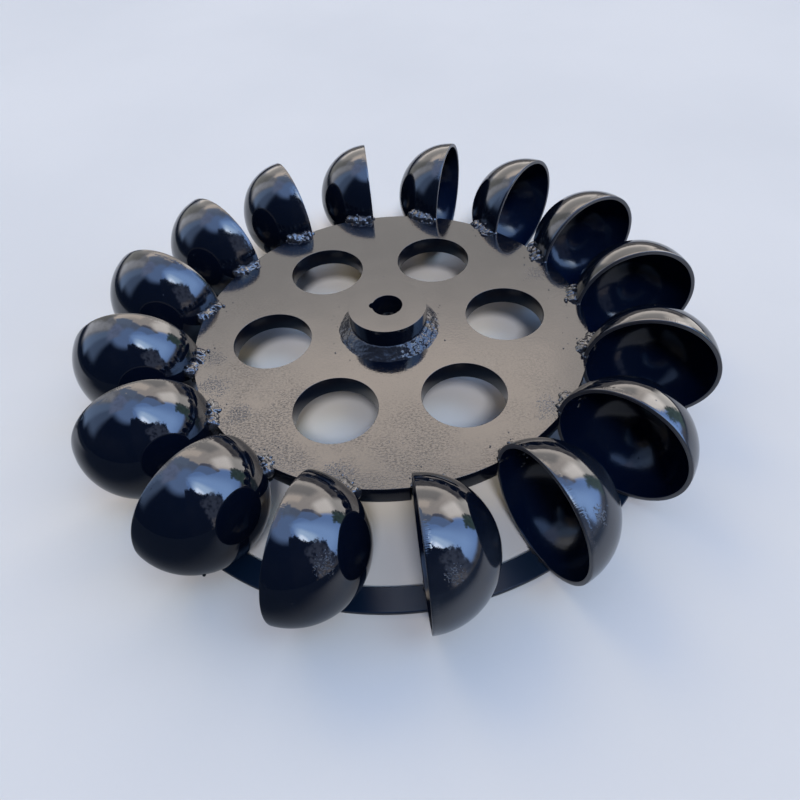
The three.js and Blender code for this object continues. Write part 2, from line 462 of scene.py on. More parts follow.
@dataclass(frozen=True)
class BowlEnamel(Enamel):
    """The enamel on a bowl's outside: dusty on one side of the wheel, and ground beside the rim."""

    mark_width: float = 0.6 * MM
    mark_reach: float = 4.0 * MM
    mark_depth: float = 0.12 * MM
    mark_edge: float = 1.5 * MM
    mark_stray: float = 3 * MM
    mark_lump: float = 2.5 * MM
    mark_stretch: float = 0.12
    back_dullness: float = 0.07
    dusty_side: Triple = (0.50, -0.80, -0.60)
    dusty_dullness: float = 0.12
    film: Triple = (0.034, 0.040, 0.047)
    film_share: float = 0.28

    DUSTY_FILM = Pattern(12 * MM, 0.2, 0.8, 4.0)
    KEPT_MARKS = Pattern(18 * MM, 0.42, 0.6)

    # Where the dust and the dull back fade in, and the least share of the film in the dust.
    DUSTY_LEAN = (95 * MM, 145 * MM)
    DUSTY_FRONT = (-105 * MM, -135 * MM)
    LEAST_FILM = 0.4
    BACK_EDGE = (-60 * MM, 100 * MM)

    def dusty(self, graph: Graph) -> Value:
        """How dusty the enamel is, from 0 to 1: the bowls on one side of the wheel are the dusty ones."""
        lean = graph.measure("DOT_PRODUCT", self.dusty_side)
        return lean.rise(*self.DUSTY_LEAN) * graph.parts()[1].rise(*self.DUSTY_FRONT)

    def colour(self, graph: Graph, pits: Value | float) -> Value:
        """The enamel's colour, under a film of dust where it is dusty."""
        film = self.dusty(graph) * graph.pattern(self.DUSTY_FILM).at_least(self.LEAST_FILM)
        return graph.mix(film * self.film_share, super().colour(graph, pits), rgba(self.film))

    def roughness(self, graph: Graph, pits: Value | float) -> Value:
        """The enamel's roughness, duller at the wheel's back and where it is dusty."""
        at_back = graph.parts()[1].rise(*self.BACK_EDGE) * self.back_dullness
        return super().roughness(graph, pits) + at_back + self.dusty(graph) * self.dusty_dullness

    def relief(self, graph: Graph, pits: Value | float) -> Value:
        """The enamel's relief, with short grooves square to the rim."""
        around, back, _ = graph.parts(graph.value("ShaderNodeUVMap", {"uv_map": BowlShell.RIM_MAP}))
        ragged = back + graph.noise(self.mark_lump) * self.mark_stray
        near = ragged.rise(self.mark_reach + self.mark_edge, self.mark_reach)
        lines = graph.value("ShaderNodeCombineXYZ", {}, {0: around, 1: back * self.mark_stretch})
        marks = graph.noise(self.mark_width, detail=1.0, place=lines) * near
        marks = marks * graph.pattern(self.KEPT_MARKS)
        return graph.bump(marks, self.mark_depth, super().relief(graph, pits))


@dataclass(frozen=True)
class WeldEnamel(Enamel):
    """Enamel over rough weld metal: lumpy and finely grained."""

    lump_size: float = 1.8 * MM
    lump_depth: float = 0.09 * MM
    grain_size: float = 0.5 * MM
    grain_depth: float = 0.02 * MM

    def relief(self, graph: Graph, pits: Value | float) -> Value:
        """Sharp lumps and fine grain."""
        lumps = graph.bump(graph.noise(self.lump_size, detail=3.0, roughness=0.6), self.lump_depth)
        return graph.bump(graph.noise(self.grain_size), self.grain_depth, lumps)


@dataclass(frozen=True)
class PaleFloor:
    """A plain pale board under the wheel. In the wheel's gloss only, it is darkened far off, as painted
    shade over darker ground, and in a patch on the camera's side, as a painted shadow.
    """

    name: str = "pale_floor"
    light: Triple = (0.288, 0.275, 0.258)
    shade: Triple = (0.267, 0.257, 0.243)
    # The board's colour in the gloss where it is darkened: painted shade and shadow, partly also the darker
    # ground beyond the board.
    far: Triple = (0.020, 0.024, 0.030)
    bright_middle: Triple = (0.10, 0.40, 0.0)
    bright_stretch: Triple = (1.0, 1.4, 1.0)
    bright_radius: float = 0.72
    bright_edge: float = 0.30
    # Where a painted shadow lies on the board, seen only in the wheel's gloss.
    shadow_middle: Triple = (-0.35, -0.45, 0.0)
    shadow_radius: float = 0.31
    shadow_edge: float = 0.16
    grain_size: float = 4 * MM
    grain_depth: float = 0.02 * MM
    grain_share: float = 0.2
    roughness: Pair = (0.6, 0.1)

    CLOUDS = Pattern(0.35, 0.3, 0.7, 4.0)

    def build(self) -> Material:
        """Makes a pale material with faint cloudy mottling."""
        material = bpy.data.materials.new(self.name)
        graph = Graph(material)
        grain = graph.noise(self.grain_size, detail=3.0)
        mottle = graph.pattern(self.CLOUDS) * (1 - self.grain_share) + grain * self.grain_share
        pale = graph.mix(mottle, rgba(self.light), rgba(self.shade))
        stretched = graph.vector("MULTIPLY", self.bright_stretch)
        # Painted shade: in glossy rays only, the board darkens far from its bright middle, partly for darker
        # ground beyond it, and under a painted shadow on the camera's side.
        reach = graph.measure("DISTANCE", self.bright_middle, stretched)
        far = reach.rise(self.bright_radius, self.bright_radius + self.bright_edge)
        aside = graph.measure("DISTANCE", self.shadow_middle)
        painted_shadow = aside.rise(self.shadow_radius + self.shadow_edge, self.shadow_radius)
        painted_shade = (1.0 - (1.0 - far) * (1.0 - painted_shadow)) * graph.ray("Is Glossy Ray")
        normal = graph.bump(grain, self.grain_depth)
        colour = graph.mix(painted_shade, pale, rgba(self.far))
        roughness = self.roughness[0] + grain * self.roughness[1]
        graph.finish(graph.principled(colour, roughness, normal, **{"Specular IOR Level": 0.0}))
        return material


def add_object(name: str, data: bpy.types.ID) -> bpy.types.Object:
    """Adds an object with its data to the scene."""
    made = bpy.data.objects.new(name, data)
    bpy.context.scene.collection.objects.link(made)
    return made


def make_object(shape: Shape, name: str, materials: Iterable[Material]) -> bpy.types.Object:
    """Turns a finished shape into an object of the scene.

    Args:
        shape: The shape, in the frame's place. It is freed.
        name: The object's name.
        materials: Its materials in order.

    Returns:
        The object.
    """
    mesh = bpy.data.meshes.new(name)
    shape.to_mesh(mesh)
    shape.free()
    for material in materials:
        mesh.materials.append(material)
    return add_object(name, mesh)


def finish_piece(
    shape: Shape, name: str, materials: Iterable[Material], node: str | None = None
) -> None:
    """Makes a piece of the wheel and ties it to the frame.

    Args:
        shape: The finished shape. It is freed.
        name: The piece's name.
        materials: The piece's materials in order.
        node: The frame's node that the piece stands for, where there is one.
    """
    piece = make_object(shape, name, materials)
    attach(piece, BODY)
    if node:
        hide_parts(node)
    LOG.info("%s: %d faces", name, len(piece.data.polygons))


def shade_smooth(shape: Shape, flat_above: float = 2.0) -> None:
    """Shades a shape smooth, apart from the faces whose normals are more upright than a level."""
    shape.normal_update()
    for face in shape.faces:
        face.smooth = abs(face.normal.z) < flat_above


def round_off(shape: Shape, parts: Sequence, width: float, segments: int = 3, affect: str = "EDGES") -> None:
    """Rounds edges or corners.

    Args:
        shape: The shape.
        parts: The edges, or the corners where `affect` is "VERTICES".
        width: How far the rounding reaches on each side.
        segments: How many faces it has across.
        affect: What is rounded.
    """
    rounding = {"offset": width, "offset_type": "OFFSET", "segments": segments, "profile": 0.5}
    bmesh.ops.bevel(shape, geom=parts, affect=affect, clamp_overlap=True, material=-1, **rounding)


def sharp_edges(shape: Shape, angle: float = math.radians(40)) -> list[bmesh.types.BMEdge]:
    """The edges where two faces meet at more than an angle."""
    return [edge for edge in shape.edges if len(edge.link_faces) == 2 and edge.calc_face_angle(0.0) > angle]


def lift_plate(shape: Shape, underside: float, top: float) -> None:
    """Fills between the loops of a flat outline and thickens it to a plate from one height to another."""
    bmesh.ops.triangle_fill(shape, edges=shape.edges[:], use_beauty=True, normal=(0, 0, 1))
    lifted = bmesh.ops.extrude_face_region(shape, geom=shape.faces[:], use_keep_orig=True)["geom"]
    corners = [part for part in lifted if isinstance(part, bmesh.types.BMVert)]
    bmesh.ops.translate(shape, verts=corners, vec=(0, 0, top - underside))
    bmesh.ops.translate(shape, verts=shape.verts[:], vec=(0, 0, underside))
    bmesh.ops.recalc_face_normals(shape, faces=shape.faces[:])


def turn_section(shape: Shape, steps: int) -> None:
    """Turns a flat section once round the wheel's axis, to a closed body."""
    section = shape.faces[:]
    axis = {"cent": (0, 0, 0), "axis": (0, 0, 1)}
    bmesh.ops.spin(shape, geom=shape.edges[:], angle=math.tau, steps=steps, use_merge=True, **axis)
    bmesh.ops.delete(shape, geom=section, context="FACES_ONLY")
    bmesh.ops.remove_doubles(shape, verts=shape.verts[:], dist=MERGE_DISTANCE)
    bmesh.ops.recalc_face_normals(shape, faces=shape.faces[:])


@dataclass
class DiscPlate:
    """The steel disc: six round windows, a hole for the hub, and a shallow notch for each bowl."""

    sizes: WheelSizes
    window_count: int = 6
    window_radius: float = 25 * MM
    window_circle_radius: float = 75 * MM
    rim_steps: int = 720
    window_steps: int = 112
    hub_steps: int = 144
    notch_clearance: float = 0.1 * MM
    edge_round: float = 0.55 * MM
    rim_unevenness: float = 0.25 * MM
    rim_waves: float = 90.0
    finish: Enamel = DiscEnamel(
        "disc_enamel",
        gloss=0.07,
        dull=0.18,
        dust_share=0.26,
        peel_size=1.6 * MM,
        peel_depth=0.036 * MM,
        pit_depth=0.05 * MM,
        rough_spots=(
            RoughSpot((-0.113, -0.010, 0.045), 14 * MM),
            RoughSpot((-0.110, -0.034, 0.045), 17 * MM),
            RoughSpot((-0.094, -0.060, 0.045), 12 * MM),
            RoughSpot((-0.040, -0.112, 0.045), 14 * MM),
            RoughSpot((0.084, -0.084, 0.045), 14 * MM),
            RoughSpot((0.104, 0.036, 0.045), 12 * MM),
        ),
    )
    walls: Enamel = Enamel("disc_walls", refraction=1.34, gloss=0.14, dull=0.3, peel_depth=0.03 * MM)

    def build(self) -> None:
        """Makes the disc, in place of its node."""
        shape = bmesh.new()
        rim = bmesh.ops.create_circle(shape, segments=self.rim_steps, radius=self.sizes.disc_radius)["verts"]
        self._notch(rim)
        bmesh.ops.create_circle(shape, segments=self.hub_steps, radius=self.sizes.hub_radius)
        for index in range(self.window_count):
            turned = Matrix.Rotation(index * math.tau / self.window_count, 4, "Z")
            place = turned @ Matrix.Translation((self.window_circle_radius, 0, 0))
            size = {"segments": self.window_steps, "radius": self.window_radius}
            bmesh.ops.create_circle(shape, matrix=place, **size)
        lift_plate(shape, self.sizes.disc_underside, self.sizes.disc_top)
        round_off(shape, sharp_edges(shape), self.edge_round)
        shade_smooth(shape, LEVEL)
        for face in shape.faces:
            face.material_index = int(abs(face.normal.z) < 0.5)
        finish_piece(shape, "disc", [self.finish.build(), self.walls.build()], "disc_plate")

    def _notch(self, rim: list[bmesh.types.BMVert]) -> None:
        """Draws the rim in where a bowl's back sits in it, and makes the cut edge slightly uneven."""
        sizes = self.sizes
        reach = sizes.bowl_radius + self.notch_clearance
        for vert in rim:
            turn = round(math.atan2(vert.co.y, vert.co.x) / (math.tau / sizes.bowl_count))
            for index in (turn - 1, turn, turn + 1):
                back = sizes.station(index).inverted() @ vert.co
                side = reach**2 - back.y**2
                if back.y < 0 or side < 0:
                    continue
                inward = sizes.bowl_circle_radius - math.sqrt(side)
                if 0 < inward < back.x:
                    vert.co = sizes.station(index) @ Vector((inward, back.y, back.z))
            wave = noise.noise(vert.co * self.rim_waves) * 0.5 + 0.5
            vert.co *= 1 - self.rim_unevenness / sizes.disc_radius * wave


@dataclass
class Hub:
    """The turned hub with its keyed bore."""

    sizes: WheelSizes
    bore_radius: float = 9.5 * MM
    keyway_half_width: float = 2.7 * MM
    keyway_centre_radius: float = 8.7 * MM
    keyway_direction: float = math.radians(172)
    outer_steps: int = 192
    bore_steps: int = 288
    edge_round: float = 0.35 * MM
    finish: Enamel = Enamel("hub_enamel", gloss=0.07, dull=0.2, peel_depth=0.012 * MM)

    def build(self) -> None:
        """Makes the hub, in place of its node."""
        shape = bmesh.new()
        bmesh.ops.create_circle(shape, segments=self.outer_steps, radius=self.sizes.hub_radius)
        bore = bmesh.ops.create_circle(shape, segments=self.bore_steps, radius=self.bore_radius)["verts"]
        for vert in bore:
            self._cut_keyway(vert)
        bmesh.ops.rotate(shape, verts=bore, matrix=Matrix.Rotation(self.keyway_direction, 3, "Z"))
        lift_plate(shape, self.sizes.disc_underside, self.sizes.hub_top)
        round_off(shape, [edge for edge in sharp_edges(shape) if self._is_level(edge)], self.edge_round)
        shade_smooth(shape, LEVEL)
        finish_piece(shape, "hub_sleeve", [self.finish.build()], "hub")

    def _cut_keyway(self, vert: bmesh.types.BMVert) -> None:
        """Moves a point of the bore out to the keyway's round end, before the keyway is turned."""
        if vert.co.x <= 0 or abs(vert.co.y) >= self.keyway_half_width:
            return
        end = self.keyway_centre_radius + math.sqrt(self.keyway_half_width**2 - vert.co.y**2)
        vert.co.x = max(vert.co.x, end)

    @staticmethod
    def _is_level(edge: bmesh.types.BMEdge) -> bool:
        """True where both ends of an edge are at one height."""
        return abs(edge.verts[0].co.z - edge.verts[1].co.z) < 1e-6


@dataclass
class LowerRing:
    """The flat hoop under the bowls."""

    sizes: WheelSizes
    width: float = 14.5 * MM
    steps: int = 360
    edge_round: float = 0.5 * MM
    finish: Enamel = Enamel(
        "ring_enamel",
        base=(0.0010, 0.0038, 0.0100),
        refraction=1.36,
        gloss=0.32,
        dull=0.5,
        dull_share=0.9,
        peel_size=1.2 * MM,
        peel_depth=0.02 * MM,
    )

    def build(self) -> None:
        """Turns the ring's section round the axis, in place of its node."""
        shape = bmesh.new()
        middle = Vector((self.sizes.ring_radius - self.width / 2, 0, self.sizes.ring_top / 2))
        size = Matrix.Diagonal((self.width, self.sizes.ring_top, 1, 1))
        place = Matrix.Translation(middle) @ Matrix.Rotation(math.pi / 2, 4, "X") @ size
        bmesh.ops.create_grid(shape, x_segments=1, y_segments=1, size=0.5, matrix=place)
        round_off(shape, shape.verts[:], self.edge_round, affect="VERTICES")
        turn_section(shape, self.steps)
        shade_smooth(shape, LEVEL)
        finish_piece(shape, "tie_ring", [self.finish.build()], "lower_ring")


@dataclass
class BowlShell:
    """One half-ball bowl: a pressed shell with a cut rim, slightly out of true. Its materials are Wall's."""

    sizes: WheelSizes
    index: int
    materials: list[Material]
    wall: float = 2.5 * MM
    around_steps: int = 128
    pole_steps: int = 80
    rim_round: float = 0.35 * MM
    rim_angle: float = math.radians(60)
    dent_depth: float = 0.35 * MM
    dent_turns: float = 1.7
    fine_share: float = 0.15

    RIM_MAP = "rim_map"

    def build(self) -> None:
        """Makes the bowl, in place of its node."""
        shape = bmesh.new()
        bmesh.ops.create_uvsphere(
            shape,
            u_segments=self.around_steps,
            v_segments=self.pole_steps,
            radius=self.sizes.bowl_radius,
            matrix=Matrix.Rotation(-math.pi / 2, 4, "X"),
        )
        whole = shape.verts[:] + shape.edges[:] + shape.faces[:]
        bmesh.ops.bisect_plane(
            shape, geom=whole, dist=1e-7, plane_co=(0, 0, 0), plane_no=(0, -1, 0), clear_outer=True
        )
        bmesh.ops.recalc_face_normals(shape, faces=shape.faces[:])
        bmesh.ops.solidify(shape, geom=shape.faces[:], thickness=self.wall)
        self._dress_walls(shape)
        edges = sharp_edges(shape, self.rim_angle)
        rim = [edge for edge in edges if max(abs(vert.co.y) for vert in edge.verts) < self.wall / 2]
        round_off(shape, rim, self.rim_round, 2)
        for vert in shape.verts:
            self._dent(vert)
        shade_smooth(shape)
        self._map_rim(shape)
        place = Matrix.Translation((self.sizes.bowl_circle_radius, 0, self.sizes.bowl_centre_height))
        bmesh.ops.transform(shape, verts=shape.verts[:], matrix=self.sizes.station(self.index) @ place)
        label = f"{self.index + 1:02d}"
        finish_piece(shape, f"bowl_shell_{label}", self.materials, f"bowl_{label}")

    def _dress_walls(self, shape: Shape) -> None:
        """Gives the outside, the inside and the rim their places in the list of materials."""
        shape.normal_update()
        middle = self.sizes.bowl_radius - self.wall / 2
        for face in shape.faces:
            centre = face.calc_center_median()
            if centre.y < self.wall * 0.2 and abs(face.normal.y) > 0.9:
                wall = Wall.RIM
            else:
                wall = Wall.OUTSIDE if centre.length > middle else Wall.INSIDE
            face.material_index = wall.value

    def _dent(self, vert: bmesh.types.BMVert) -> None:
        """Presses the shell in a little, more in some places than in others."""
        seed = Vector((self.index * 7.3, self.index * 3.1, 0))
        direction = vert.co.normalized()
        press = noise.noise(direction * self.dent_turns + seed) * 0.5 + 0.5
        fine = noise.noise(direction * self.dent_turns * 4 + seed) * 0.5 + 0.5
        depth = self.dent_depth * (press * (1 - self.fine_share) + fine * self.fine_share)
        vert.co -= direction * depth

    def _map_rim(self, shape: Shape) -> None:
        """Maps the shell by the way round the rim and the way back from it, in metres."""
        layer = shape.loops.layers.uv.new(self.RIM_MAP)
        radius = self.sizes.bowl_radius
        for face in shape.faces:
            middle = face.calc_center_median()
            start = math.atan2(middle.z, middle.x)
            for loop in face.loops:
                point = loop.vert.co
                around = math.atan2(point.z, point.x)
                if abs(around - start) > math.pi:
                    around += math.copysign(math.tau, start - around)
                back = math.atan2(point.y, math.hypot(point.x, point.z))
                loop[layer].uv = (around * radius, back * radius)


def everywhere(_place: Vector) -> float:
    """The same full share for each place."""
    return 1.0


def roughen(shape: Shape, size: float, depth: float, share: Callable[[Vector], float] = everywhere) -> None:
    """Raises and sinks a surface at random, in lumps with finer grain on them.

    Args:
        shape: The shape.
        size: The width of a lump.
        depth: How far it is raised or sunk.
        share: How much of the depth a place gets.
    """
    shape.normal_update()
    moves = []
    for vert in shape.verts:
        lump = noise.noise(vert.co / size) + FINER_SHARE * noise.noise(vert.co / size * FINER_LUMPS)
        moves.append(vert.normal * lump * (depth * share(vert.co)))
    for vert, move in zip(shape.verts, moves):
        vert.co += move


@dataclass(frozen=True)
class Drop:
    """One drop of weld metal: its reach across the seam and up, and its half thickness along the seam."""

    place: Vector
    along: Vector
    width: float
    height: float
    thickness: float
    lean: float = 0.0

    def turned(self, turn: Matrix) -> "Drop":
        """The same drop, turned round the wheel's axis."""
        return replace(self, place=turn @ self.place, along=turn.to_3x3() @ self.along)

    def matrix(self) -> Matrix:
        """Shapes and places a ball of radius 1 as this drop."""
        facing = self.along.to_track_quat("Z", "Y").to_matrix().to_4x4()
        size = Matrix.Diagonal((self.width, self.height, self.thickness, 1))
        return Matrix.Translation(self.place) @ facing @ Matrix.Rotation(self.lean, 4, "Z") @ size


@dataclass
class WeldRun:
    """Weld metal laid drop by drop and melted into one lumpy body."""

    name: str
    drops: list[Drop]
    grain: float = 0.42 * MM
    smoothings: int = 2
    lump_size: float = 4.0 * MM
    lump_depth: float = 0.9 * MM

    def build(self, material: Material, node: str | None = None) -> None:
        """Makes the run as one closed piece.

        Args:
            material: The weld's finish.
            node: The frame's node that the run stands for, where there is one.
        """
        loose = bmesh.new()
        for drop in self.drops:
            bmesh.ops.create_icosphere(loose, subdivisions=3, radius=1.0, matrix=drop.matrix())
        melted = self._melt(loose)
        roughen(melted, self.lump_size, self.lump_depth)
        for _ in range(self.smoothings):
            bmesh.ops.smooth_vert(
                melted, verts=melted.verts[:], factor=0.5, use_axis_x=True, use_axis_y=True, use_axis_z=True
            )
        shade_smooth(melted)
        finish_piece(melted, self.name, [material], node)

    def _melt(self, shape: Shape) -> Shape:
        """Joins separate drops into one skin.

        Args:
            shape: The drops. It is freed.

        Returns:
            The joined shape.
        """
        loose = make_object(shape, "drops", ())
        remesh = loose.modifiers.new("melt", "REMESH")
        remesh.mode = "VOXEL"
        remesh.voxel_size = self.grain
        skin = bpy.data.meshes.new_from_object(loose.evaluated_get(bpy.context.evaluated_depsgraph_get()))
        melted = bmesh.new()
        melted.from_mesh(skin)
        drops = loose.data
        bpy.data.objects.remove(loose)
        for mesh in (drops, skin):
            bpy.data.meshes.remove(mesh)
        return melted


@dataclass
class HubWeld:
    """The fillet weld round the foot of the hub, lumpy all round and coarser on one side."""

    sizes: WheelSizes
    material: Material
    leg: float = 6.6 * MM
    toe: float = 7.5 * MM
    height: float = 6.1 * MM
    toe_height: float = 0.8 * MM
    sunk: float = 0.3 * MM
    corner_round: float = 1.0 * MM
    slope_cuts: int = 14
    steps: int = 460
    waves: Pair = (5.0 * MM, 0.25 * MM)
    grain: Pair = (1.3 * MM, 0.09 * MM)
    lumps: Pair = (2.6 * MM, 0.95 * MM)
    coarse_direction: float = math.radians(-32)
    second_coarse: float = math.radians(118)

    def build(self) -> None:
        """Turns a fillet section with a thin toe round the hub and roughens it, in place of its node."""
        corners = (
            (-self.sunk, self.height),
            (0.3 * MM, self.height),
            (self.leg, self.toe_height),
            (self.toe, 0.1 * MM),
            (self.toe + self.sunk, -self.sunk),
            (-self.sunk, -self.sunk),
        )
        foot = Vector((self.sizes.hub_radius, 0, self.sizes.disc_top))
        shape = bmesh.new()
        section = [shape.verts.new(foot + Vector((out, 0, up))) for out, up in corners]
        shape.faces.new(section)
        round_off(shape, section[1:4], self.corner_round, 4, "VERTICES")
        bmesh.ops.subdivide_edges(shape, edges=[max(shape.edges, key=self._slant)], cuts=self.slope_cuts)
        turn_section(shape, self.steps)
        roughen(shape, *self.waves)
        roughen(shape, *self.grain)
        roughen(shape, *self.lumps, self._coarseness)
        shade_smooth(shape)
        finish_piece(shape, "hub_fillet", [self.material], "hub_weld")

    @staticmethod
    def _slant(edge: bmesh.types.BMEdge) -> float:
        """How long and how slanted an edge of the section is."""
        run = edge.verts[0].co - edge.verts[1].co
        return abs(run.x * run.z)

    def _coarseness(self, place: Vector) -> float:
        """How coarse the weld is at a place: 1 on the coarse side, and much less elsewhere."""
        turn = math.atan2(place.y, place.x) - self.coarse_direction
        second = 0.35 * max(0.0, math.cos(turn + self.second_coarse)) ** 6
        return 0.06 + 0.94 * max(0.0, math.cos(turn)) ** 4 + second


@dataclass
class BowlWeld:
    """The weld between a bowl's back and the disc: a rippled seam that ends in the wedge behind the bowl."""

    sizes: WheelSizes
    index: int
    material: Material
    fat_from: float = 2.0 * MM
    climb: float = 0.0
    seam_start: float = 1.5 * MM
    seam_end: float = 20.0 * MM
    seam_step: float = 2.5 * MM
    seam_width: float = 4.8 * MM
    seam_height: float = 3.2 * MM
    seam_inset: float = 3.2 * MM
    ripple: float = 2.8 * MM
    thin_share: float = 0.45
    end_radius: float = 3.0 * MM
    end_drops: int = 5
    end_inset: float = 1.5 * MM
    crumb_drops: int = 6
    crumbs_on_disc: float = 0.6

    # Spans of the random draws: shares of a size, degrees of lean, or millimetres where a name says so.
    WIDTHS = (0.75, 1.15)
    HEIGHTS = (0.8, 1.15)
    SUNK = (0.15, 0.4)
    THICKNESSES = (0.75, 1.2)
    STEPS = (0.75, 1.25)
    LEANS = (16, 34)

    # How far a ripple's direction strays along the disc and up, and the drops in the wedge.
    WANDER = 0.5
    TIP = 0.35
    END_BACK_MM = 18.0
    END_DRAW_MM = 2.5
    END_STRAY_MM = ((-1.0, 0.2), (-0.8, 0.8), (-0.4, 0.4))
    END_AXIS = (0.1, 0.25, 1)
    FLATNESS = 0.7
    CRUMB_WIDTHS_MM = (0.8, 1.4)
    CRUMB_REACH_MM = (4.4, 6.6)
    CRUMB_LIFT_MM = (2.5, 4.5)

    def build(self) -> None:
        """Lays the seam along the disc's top edge, then the end down the wedge, in place of its node."""
        dice = random.Random(100 + self.index)
        turn = self.sizes.station(self.index)
        drops = [drop.turned(turn) for drop in self._seam(dice) + self._end(dice) + self._crumbs(dice)]
        label = f"{self.index + 1:02d}"
        WeldRun(f"bowl_seam_{label}", drops).build(self.material, f"bowl_weld_{label}")

    def _touch(self, back: float, height: float) -> Vector:
        """Where the bowl's outside is nearest to the axis, at a distance behind the mouth and a height."""
        sizes = self.sizes
        slice_radius_squared = sizes.bowl_radius**2 - (height - sizes.bowl_centre_height) ** 2
        reach = sizes.bowl_circle_radius - math.sqrt(slice_radius_squared - back**2)
        return Vector((reach, back, height))

    def _seam(self, dice: random.Random) -> list[Drop]:
        """The overlapping ripples along the disc's top edge, thin at first and fat from a place on."""
        drops = []
        back = self.seam_start
        while back < self.seam_end:
            share = 1.0 if back >= self.fat_from else self.thin_share
            width = self.seam_width * share * dice.uniform(*self.WIDTHS)
            height = self.seam_height * share * dice.uniform(*self.HEIGHTS)
            spot = self._touch(back, self.sizes.disc_top)
            rise = self.climb * share - height * dice.uniform(*self.SUNK)
            spot += Vector((self.seam_inset - width, 0, rise))
            turn = back / self.sizes.bowl_radius + dice.uniform(-self.WANDER, self.WANDER)
            along = Vector((turn, 1, dice.uniform(-self.TIP, self.TIP)))
            thickness = self.ripple * dice.uniform(*self.THICKNESSES)
            lean = -math.radians(dice.uniform(*self.LEANS))
            drops.append(Drop(spot, along, width, height, thickness, lean))
            back += self.seam_step * dice.uniform(*self.STEPS)
        return drops

    def _end(self, dice: random.Random) -> list[Drop]:
        """The drops down the wedge between the bowl's back and the disc's edge."""
        drops = []
        top = self.sizes.disc_top - self.end_inset
        bottom = self.sizes.disc_underside + self.end_inset
        for step in range(self.end_drops):
            share = step / (self.end_drops - 1)
            back = (self.END_BACK_MM - self.END_DRAW_MM * share) * MM
            spot = self._touch(back, top + (bottom - top) * share)
            spot += Vector([dice.uniform(*stray) for stray in self.END_STRAY_MM]) * MM
            width = self.end_radius * dice.uniform(*self.HEIGHTS)
            drops.append(Drop(spot, Vector(self.END_AXIS), width, width, width * self.FLATNESS))
        return drops

    def _crumbs(self, dice: random.Random) -> list[Drop]:
        """Small ragged drops where the seam runs out on the disc and on the bowl's back."""
        drops = []
        for _ in range(self.crumb_drops):
            back = dice.uniform(self.fat_from / MM, self.seam_end / MM) * MM
            spot = self._touch(back, self.sizes.disc_top)
            if dice.random() < self.crumbs_on_disc:
                spot += Vector((-dice.uniform(*self.CRUMB_REACH_MM), 0, 0.1)) * MM
            else:
                spot += Vector((dice.uniform(-0.2, 0.2), 0, dice.uniform(*self.CRUMB_LIFT_MM))) * MM
            width = dice.uniform(*self.CRUMB_WIDTHS_MM) * MM
            drops.append(Drop(spot, Vector((dice.uniform(-1, 1), 1, 0.2)), width, width, width))
        return drops


@dataclass
class RingTacks:
    """The small tack welds that hold the bowls on the lower ring."""

    sizes: WheelSizes
    material: Material
    size: float = 1.7 * MM
    grain: float = 0.5 * MM
    rows: tuple[tuple[float, float, tuple[float, ...]], ...] = (
        (0.6, 1.0, (-3.5, 0.5, 4.5)),
        (11.5, 1.15, (-3, 1, 4)),
    )

    def build(self) -> None:
        """Lays a row of drops at the rim side and one at the back of each bowl's foot."""
        dice = random.Random(5)
        drops = []
        for index in range(self.sizes.bowl_count):
            turn = self.sizes.station(index)
            for back, scale, sides in self.rows:
                drops += [self._drop(dice, side, back, scale).turned(turn) for side in sides]
        WeldRun("ring_tacks", drops, grain=self.grain).build(self.material)

    def _drop(self, dice: random.Random, side: float, back: float, scale: float) -> Drop:
        """One drop, at a place across the ring and behind the mouth, in millimetres."""
        across = self.sizes.bowl_circle_radius + (side + dice.uniform(-0.8, 0.8)) * MM
        place = Vector((across, (back + dice.uniform(-0.6, 0.6)) * MM, self.sizes.ring_top + 0.3 * MM))
        width = self.size * scale * dice.uniform(0.8, 1.2)
        return Drop(place, Vector((0, 0, 1)), width, width, width * 0.75)


@dataclass
class Spatter:
    """Small balls of weld metal stuck to the disc near the welds."""

    sizes: WheelSizes
    material: Material
    per_bowl: int = 5
    round_hub: int = 16
    smallest: float = 0.22 * MM
    largest: float = 0.55 * MM
    lift: float = 0.3

    # Where the balls lie: bands inside the disc's rim and round the hub, and an arc at each bowl.
    RIM_BAND_MM = (2, 16)
    HUB_BAND_MM = (8.5, 17)
    ARC = (-0.02, 0.17)

    def build(self) -> None:
        """Scatters the balls, all as one piece."""
        dice = random.Random(23)
        shape = bmesh.new()
        for index in range(self.sizes.bowl_count):
            for _ in range(self.per_bowl):
                inward = self.sizes.disc_radius - dice.uniform(*self.RIM_BAND_MM) * MM
                angle = self.sizes.bowl_angle(index) + dice.uniform(*self.ARC)
                self._ball(shape, dice, inward, angle)
        for _ in range(self.round_hub):
            outward = self.sizes.hub_radius + dice.uniform(*self.HUB_BAND_MM) * MM
            self._ball(shape, dice, outward, dice.uniform(0, math.tau))
        shade_smooth(shape)
        finish_piece(shape, "weld_spatter", [self.material])

    def _ball(self, shape: Shape, dice: random.Random, radius: float, angle: float) -> None:
        """Sets one ball on the disc's top."""
        size = dice.uniform(self.smallest, self.largest)
        place = (radius * math.cos(angle), radius * math.sin(angle), self.sizes.disc_top + size * self.lift)
        bmesh.ops.create_icosphere(shape, subdivisions=1, radius=size, matrix=Matrix.Translation(place))


